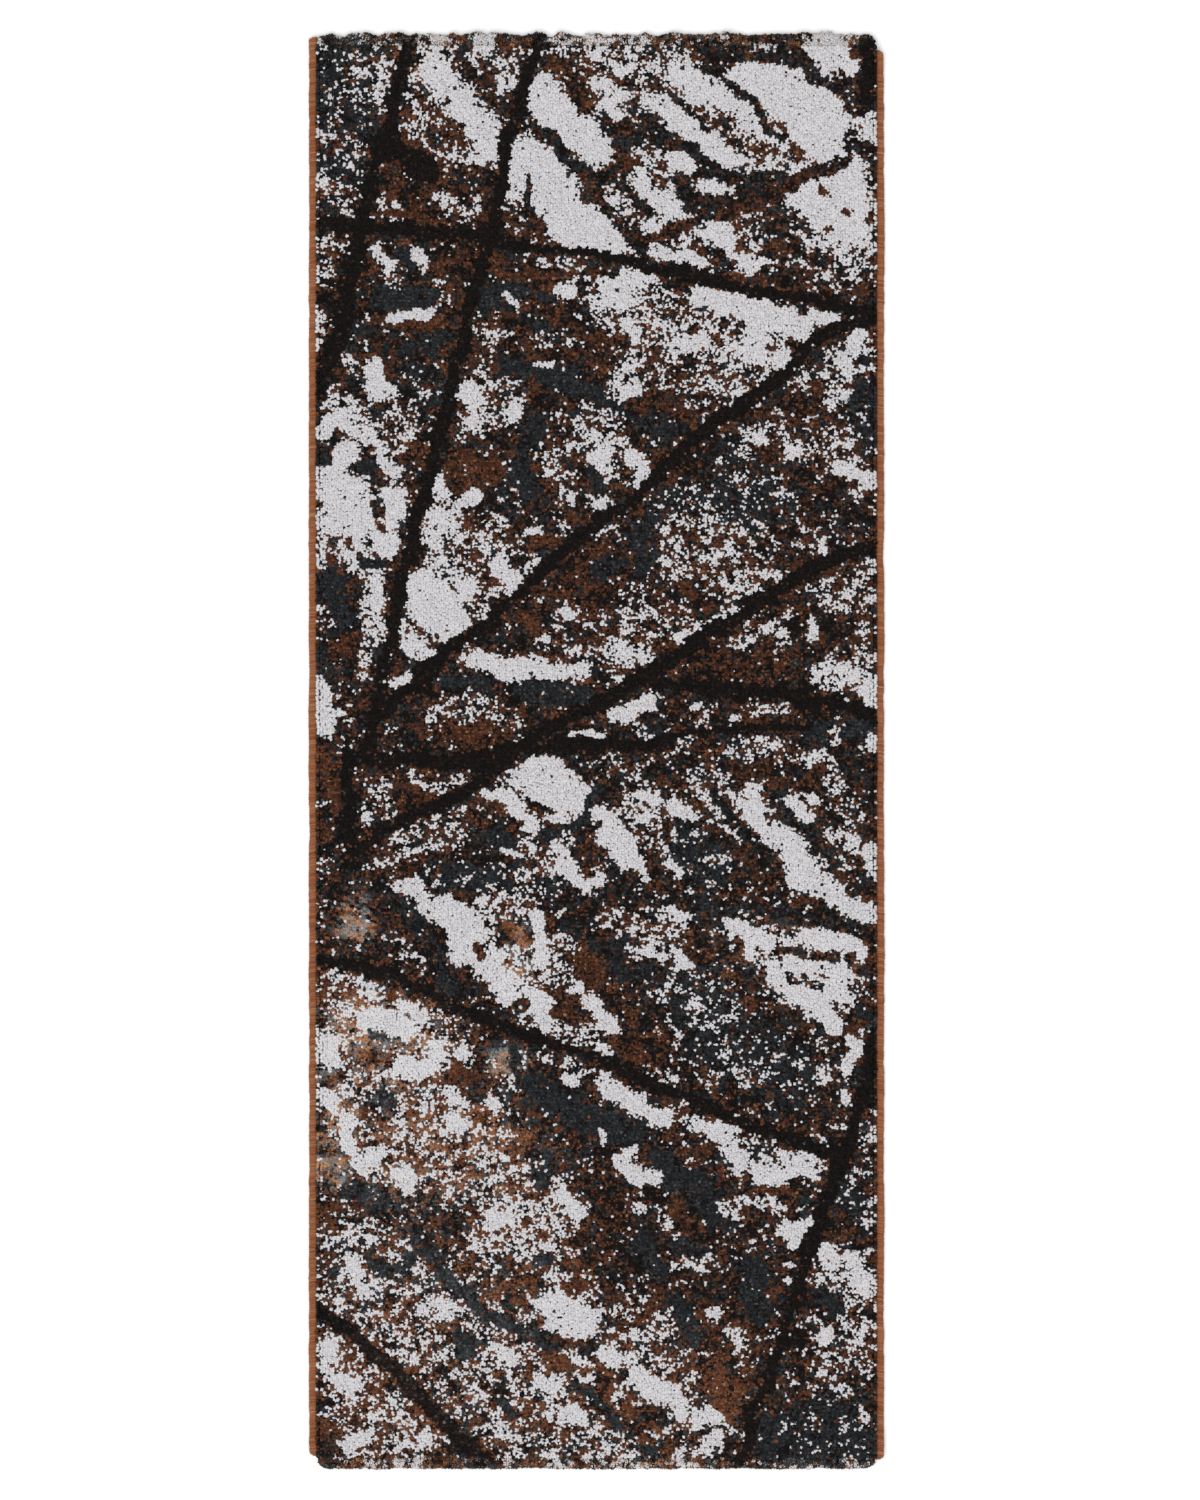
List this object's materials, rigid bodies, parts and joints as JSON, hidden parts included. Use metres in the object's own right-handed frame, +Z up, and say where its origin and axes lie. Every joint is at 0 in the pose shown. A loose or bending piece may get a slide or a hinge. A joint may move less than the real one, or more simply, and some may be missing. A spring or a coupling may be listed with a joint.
{
  "type": "runner rug",
  "caption": "Long narrow woven cut-pile rug lying flat, with an abstract veined pattern, overcast long edges and turned-under short ends.",
  "frame": {"origin": "on the floor, under the middle of the rug", "axes": "+X across the rug, +Y along its length, +Z up out of the pile"},
  "size_m": [0.8, 2, 0.014],
  "materials": {
    "back_size": "dried latex size on the back of the weave, matt cream",
    "ground_jute": "plain jute weft yarn, matt straw brown",
    "ground_cotton": "plain cotton and polyester warp yarn, off-white",
    "pile": "cut pile of mixed cream, rust brown, slate and black polypropylene yarn",
    "pile_cream": "heat-set polypropylene pile yarn, cold off-white",
    "pile_rust": "heat-set polypropylene pile yarn, rust brown",
    "pile_slate": "heat-set polypropylene pile yarn, slate charcoal",
    "pile_black": "heat-set polypropylene pile yarn, brown black",
    "serging_yarn": "polyester overcasting yarn, tan rust with a soft sheen",
    "sewing_thread": "polyester sewing thread, dark brown",
    "heading_cloth": "flat-woven jute and cotton, without pile"
  },
  "bodies": {
    "root": {"back_size": "back_size", "weft_lower": "ground_jute", "stuffer_warp": "ground_cotton", "weft_upper": "ground_jute", "pile_field": "pile", "pile_end_rows_far": "pile", "pile_end_rows_near": "pile", "selvedge_left": "heading_cloth", "selvedge_right": "heading_cloth", "edge_cord_left": "ground_cotton", "edge_cord_right": "ground_cotton", "serging_left": "serging_yarn", "serging_right": "serging_yarn", "needle_thread_left": "sewing_thread", "needle_thread_right": "sewing_thread", "heading_far": "heading_cloth", "heading_near": "heading_cloth", "hem_seam_far": "sewing_thread", "hem_seam_near": "sewing_thread"}
  },
  "joints": []
}
